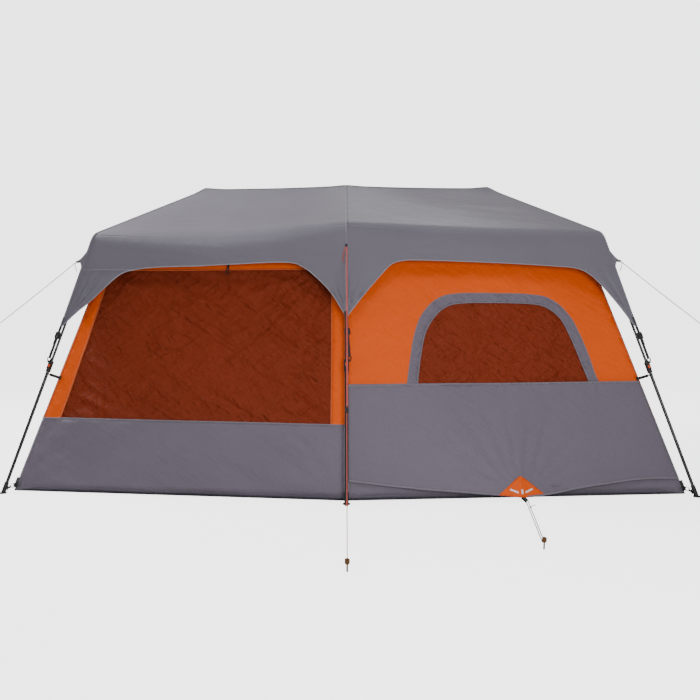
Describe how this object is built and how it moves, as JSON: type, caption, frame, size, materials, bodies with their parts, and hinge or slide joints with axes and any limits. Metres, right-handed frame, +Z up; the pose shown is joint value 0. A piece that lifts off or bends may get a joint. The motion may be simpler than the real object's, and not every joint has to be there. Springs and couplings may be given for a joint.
{
  "type": "pop up cabin tent",
  "caption": "Six-leg pop up cabin tent with a folding steel frame, telescoping legs, mesh windows, a zipped door and a separate fly with pointed corner tips.",
  "frame": {"origin": "centre of the feet's outline, on the ground", "axes": "+X along the long side, +Y from the front wall to the rear wall, +Z up"},
  "size_m": [4.7416, 4.7117, 2.1825],
  "materials": {
    "black_steel": "satin",
    "black_plastic": "matte",
    "orange_plastic": "gloss",
    "zip_metal": "satin",
    "rust_mesh": "matte",
    "grey_mesh": "matte",
    "fly_cloth": "matte",
    "black_webbing": "matte",
    "orange_cloth": "matte",
    "grey_cloth": "matte",
    "floor_cloth": "satin",
    "red_cord": "matte",
    "pale_cord": "matte",
    "peg_metal": "satin"
  },
  "bodies": {
    "canopy": {"hub_center": "black_plastic", "tub_wall": "floor_cloth", "mesh_ceiling": "grey_mesh", "rain_fly": "fly_cloth", "wall_front_left": "orange_cloth", "window_front_left": "rust_mesh", "wall_front_right": "orange_cloth", "window_front_right": "rust_mesh", "skirt_front_right": "grey_cloth", "wall_rear_left": "orange_cloth", "wall_rear_right": "orange_cloth", "wall_end_left": "orange_cloth", "wall_end_right": "orange_cloth", "windows_end": "rust_mesh", "wall_ties": "black_webbing", "fly_straps": "black_webbing", "guy_lines": "pale_cord", "pegs": "peg_metal"},
    "ridge_inner_left": {"ridge_inner_left": "black_steel"},
    "ridge_outer_left": {"ridge_outer_left": "black_steel"},
    "hub_left": {"hub_left": "black_plastic"},
    "ridge_inner_right": {"ridge_inner_right": "black_steel"},
    "ridge_outer_right": {"ridge_outer_right": "black_steel"},
    "hub_right": {"hub_right": "black_plastic"},
    "arm_front_left": {"roof_arm_front_left": "black_steel"},
    "upper_front_left": {"leg_upper_front_left": "black_steel"},
    "lower_front_left": {"leg_lower_front_left": "black_steel", "leg_fittings_front_left": "black_plastic"},
    "button_front_left": {"button_front_left": "orange_plastic"},
    "arm_front_mid": {"roof_arm_front_mid": "black_steel"},
    "upper_front_mid": {"leg_upper_front_mid": "black_steel"},
    "lower_front_mid": {"leg_lower_front_mid": "black_steel", "leg_fittings_front_mid": "black_plastic"},
    "button_front_mid": {"button_front_mid": "orange_plastic"},
    "arm_front_right": {"roof_arm_front_right": "black_steel"},
    "upper_front_right": {"leg_upper_front_right": "black_steel"},
    "lower_front_right": {"leg_lower_front_right": "black_steel", "leg_fittings_front_right": "black_plastic"},
    "button_front_right": {"button_front_right": "orange_plastic"},
    "arm_rear_left": {"roof_arm_rear_left": "black_steel"},
    "upper_rear_left": {"leg_upper_rear_left": "black_steel"},
    "lower_rear_left": {"leg_lower_rear_left": "black_steel", "leg_fittings_rear_left": "black_plastic"},
    "button_rear_left": {"button_rear_left": "orange_plastic"},
    "arm_rear_mid": {"roof_arm_rear_mid": "black_steel"},
    "upper_rear_mid": {"leg_upper_rear_mid": "black_steel"},
    "lower_rear_mid": {"leg_lower_rear_mid": "black_steel", "leg_fittings_rear_mid": "black_plastic"},
    "button_rear_mid": {"button_rear_mid": "orange_plastic"},
    "arm_rear_right": {"roof_arm_rear_right": "black_steel"},
    "upper_rear_right": {"leg_upper_rear_right": "black_steel"},
    "lower_rear_right": {"leg_lower_rear_right": "black_steel", "leg_fittings_rear_right": "black_plastic"},
    "button_rear_right": {"button_rear_right": "orange_plastic"},
    "floor_front": {"floor_front": "floor_cloth"},
    "floor_rear": {"floor_rear": "floor_cloth"},
    "door": {"door_panel": "orange_cloth"},
    "window_zip": {"window_zip_slider": "zip_metal"},
    "guy": {"guy_front": "red_cord"},
    "guy_slider": {"guy_front_slider": "black_plastic"}
  },
  "joints": [
    {"name": "fold", "type": "hinge", "parent": "canopy", "child": "ridge_inner_left", "pos_m": [-0.045, 0, 2.14], "axis": [0, 1, 0], "range_deg": [0, 90], "deforming": ["tub_wall", "mesh_ceiling", "rain_fly", "wall_front_left", "window_front_left", "wall_front_right", "window_front_right", "skirt_front_right", "wall_rear_left", "wall_rear_right", "wall_end_left", "wall_end_right", "windows_end", "wall_ties", "fly_straps", "floor_front", "floor_rear", "door_panel", "window_zip_slider", "guy_lines", "guy_front"]},
    {"name": "ridge_inner_right_turn", "type": "hinge", "parent": "canopy", "child": "ridge_inner_right", "pos_m": [0.045, 0, 2.14], "axis": [0, -1, 0], "range_deg": [0, 90.05]},
    {"name": "ridge_left_break", "type": "hinge", "parent": "ridge_inner_left", "child": "ridge_outer_left", "pos_m": [-0.55966, 0, 2.1135], "axis": [0, -1, 0], "range_deg": [0, 180.05]},
    {"name": "hub_left_level", "type": "hinge", "parent": "ridge_outer_left", "child": "hub_left", "pos_m": [-1.075, 0, 2.115], "axis": [0, 1, 0], "range_deg": [0, 90.05]},
    {"name": "ridge_right_break", "type": "hinge", "parent": "ridge_inner_right", "child": "ridge_outer_right", "pos_m": [0.55966, 0, 2.1135], "axis": [0, 1, 0], "range_deg": [0, 180.05]},
    {"name": "hub_right_level", "type": "hinge", "parent": "ridge_outer_right", "child": "hub_right", "pos_m": [1.075, 0, 2.115], "axis": [0, -1, 0], "range_deg": [0, 90.05]},
    {"name": "arm_front_left_turn", "type": "hinge", "parent": "hub_left", "child": "arm_front_left", "pos_m": [-1.141, -0.0398, 2.115], "axis": [-0.8844, 0.4668, 0], "range_deg": [0, 111.2]},
    {"name": "elbow_front_left", "type": "hinge", "parent": "arm_front_left", "child": "upper_front_left", "pos_m": [-1.68702, -1.06797, 1.64889], "axis": [0.9002, -0.394, -0.1854], "range_deg": [0, 127.67]},
    {"name": "leg_front_left", "type": "slide", "parent": "upper_front_left", "child": "lower_front_left", "axis": [0.2801, 0.198, 0.9393], "range_m": [0, 0.68]},
    {"name": "button_front_left", "type": "slide", "parent": "lower_front_left", "child": "button_front_left", "axis": [-0.0566, 0.9802, -0.1898], "range_m": [0, 0.003], "stiffness_N_per_m": 600},
    {"name": "arm_front_mid_turn", "type": "hinge", "parent": "canopy", "child": "arm_front_mid", "pos_m": [0, -0.045, 2.14], "axis": [-1, 0, 0], "range_deg": [0, 110.15]},
    {"name": "elbow_front_mid", "type": "hinge", "parent": "arm_front_mid", "child": "upper_front_mid", "pos_m": [0, -1.20754, 1.69859], "axis": [1, 0, 0], "range_deg": [0, 124.21]},
    {"name": "leg_front_mid", "type": "slide", "parent": "upper_front_mid", "child": "lower_front_mid", "axis": [0, 0.2598, 0.9657], "range_m": [0, 0.68]},
    {"name": "button_front_mid", "type": "slide", "parent": "lower_front_mid", "child": "button_front_mid", "axis": [0, 0.9657, -0.2598], "range_m": [0, 0.003], "stiffness_N_per_m": 600},
    {"name": "arm_front_right_turn", "type": "hinge", "parent": "hub_right", "child": "arm_front_right", "pos_m": [1.141, -0.0398, 2.115], "axis": [-0.8844, -0.4668, 0], "range_deg": [0, 111.2]},
    {"name": "elbow_front_right", "type": "hinge", "parent": "arm_front_right", "child": "upper_front_right", "pos_m": [1.68702, -1.06797, 1.64889], "axis": [0.9002, 0.394, 0.1854], "range_deg": [0, 127.67]},
    {"name": "leg_front_right", "type": "slide", "parent": "upper_front_right", "child": "lower_front_right", "axis": [-0.2801, 0.198, 0.9393], "range_m": [0, 0.68]},
    {"name": "button_front_right", "type": "slide", "parent": "lower_front_right", "child": "button_front_right", "axis": [0.0566, 0.9802, -0.1898], "range_m": [0, 0.003], "stiffness_N_per_m": 600},
    {"name": "arm_rear_left_turn", "type": "hinge", "parent": "hub_left", "child": "arm_rear_left", "pos_m": [-1.141, 0.0398, 2.115], "axis": [0.8844, 0.4668, 0], "range_deg": [0, 111.2]},
    {"name": "elbow_rear_left", "type": "hinge", "parent": "arm_rear_left", "child": "upper_rear_left", "pos_m": [-1.68702, 1.06797, 1.64889], "axis": [-0.9002, -0.394, 0.1854], "range_deg": [0, 127.67]},
    {"name": "leg_rear_left", "type": "slide", "parent": "upper_rear_left", "child": "lower_rear_left", "axis": [0.2801, -0.198, 0.9393], "range_m": [0, 0.68]},
    {"name": "button_rear_left", "type": "slide", "parent": "lower_rear_left", "child": "button_rear_left", "axis": [-0.0566, -0.9802, -0.1898], "range_m": [0, 0.003], "stiffness_N_per_m": 600},
    {"name": "arm_rear_mid_turn", "type": "hinge", "parent": "canopy", "child": "arm_rear_mid", "pos_m": [0, 0.045, 2.14], "axis": [1, 0, 0], "range_deg": [0, 110.15]},
    {"name": "elbow_rear_mid", "type": "hinge", "parent": "arm_rear_mid", "child": "upper_rear_mid", "pos_m": [0, 1.20754, 1.69859], "axis": [-1, 0, 0], "range_deg": [0, 124.21]},
    {"name": "leg_rear_mid", "type": "slide", "parent": "upper_rear_mid", "child": "lower_rear_mid", "axis": [0, -0.2598, 0.9657], "range_m": [0, 0.68]},
    {"name": "button_rear_mid", "type": "slide", "parent": "lower_rear_mid", "child": "button_rear_mid", "axis": [0, -0.9657, -0.2598], "range_m": [0, 0.003], "stiffness_N_per_m": 600},
    {"name": "arm_rear_right_turn", "type": "hinge", "parent": "hub_right", "child": "arm_rear_right", "pos_m": [1.141, 0.0398, 2.115], "axis": [0.8844, -0.4668, 0], "range_deg": [0, 111.2]},
    {"name": "elbow_rear_right", "type": "hinge", "parent": "arm_rear_right", "child": "upper_rear_right", "pos_m": [1.68702, 1.06797, 1.64889], "axis": [-0.9002, 0.394, -0.1854], "range_deg": [0, 127.67]},
    {"name": "leg_rear_right", "type": "slide", "parent": "upper_rear_right", "child": "lower_rear_right", "axis": [-0.2801, -0.198, 0.9393], "range_m": [0, 0.68]},
    {"name": "button_rear_right", "type": "slide", "parent": "lower_rear_right", "child": "button_rear_right", "axis": [0.0566, -0.9802, -0.1898], "range_m": [0, 0.003], "stiffness_N_per_m": 600},
    {"name": "floor_front_fold", "type": "hinge", "parent": "upper_front_mid", "child": "floor_front", "pos_m": [0, -1.588, 0.0006], "axis": [1, 0, 0], "range_deg": [0, 72.05]},
    {"name": "floor_rear_fold", "type": "hinge", "parent": "upper_rear_mid", "child": "floor_rear", "pos_m": [0, 1.588, 0.0006], "axis": [-1, 0, 0], "range_deg": [0, 72.05]},
    {"name": "door_swing", "type": "hinge", "parent": "upper_rear_left", "child": "door", "pos_m": [-1.929, 1.33428, 0.172], "axis": [0.2794, -0.2198, 0.9347], "range_deg": [0, 110]},
    {"name": "window_zip_slide", "type": "slide", "parent": "upper_front_left", "child": "window_zip", "axis": [0.9936, -0.113, 0], "range_m": [-0.76, 0.66]},
    {"name": "guy_lowers", "type": "hinge", "parent": "canopy", "child": "guy", "pos_m": [0, -2.955, 0.02], "axis": [-1, 0, 0], "range_deg": [0, 42.85]},
    {"name": "guy_slider_slide", "type": "slide", "parent": "guy", "child": "guy_slider", "axis": [0, 0.7289, 0.6846], "range_m": [-0.5, 0.9]}
  ],
  "couplings": [
    {"joint": "ridge_inner_right_turn", "follows": "fold", "ratio": 1},
    {"joint": "ridge_left_break", "follows": "fold", "ratio": 2},
    {"joint": "hub_left_level", "follows": "fold", "ratio": 1},
    {"joint": "ridge_right_break", "follows": "fold", "ratio": 2},
    {"joint": "hub_right_level", "follows": "fold", "ratio": 1},
    {"joint": "arm_front_left_turn", "follows": "fold", "ratio": 1.235},
    {"joint": "elbow_front_left", "follows": "fold", "ratio": 1.418},
    {"joint": "arm_front_mid_turn", "follows": "fold", "ratio": 1.2233},
    {"joint": "elbow_front_mid", "follows": "fold", "ratio": 1.3795},
    {"joint": "arm_front_right_turn", "follows": "fold", "ratio": 1.235},
    {"joint": "elbow_front_right", "follows": "fold", "ratio": 1.418},
    {"joint": "arm_rear_left_turn", "follows": "fold", "ratio": 1.235},
    {"joint": "elbow_rear_left", "follows": "fold", "ratio": 1.418},
    {"joint": "arm_rear_mid_turn", "follows": "fold", "ratio": 1.2233},
    {"joint": "elbow_rear_mid", "follows": "fold", "ratio": 1.3795},
    {"joint": "arm_rear_right_turn", "follows": "fold", "ratio": 1.235},
    {"joint": "elbow_rear_right", "follows": "fold", "ratio": 1.418},
    {"joint": "floor_front_fold", "follows": "fold", "ratio": 0.8},
    {"joint": "floor_rear_fold", "follows": "fold", "ratio": 0.8},
    {"joint": "guy_lowers", "follows": "fold", "ratio": 0.47559}
  ]
}
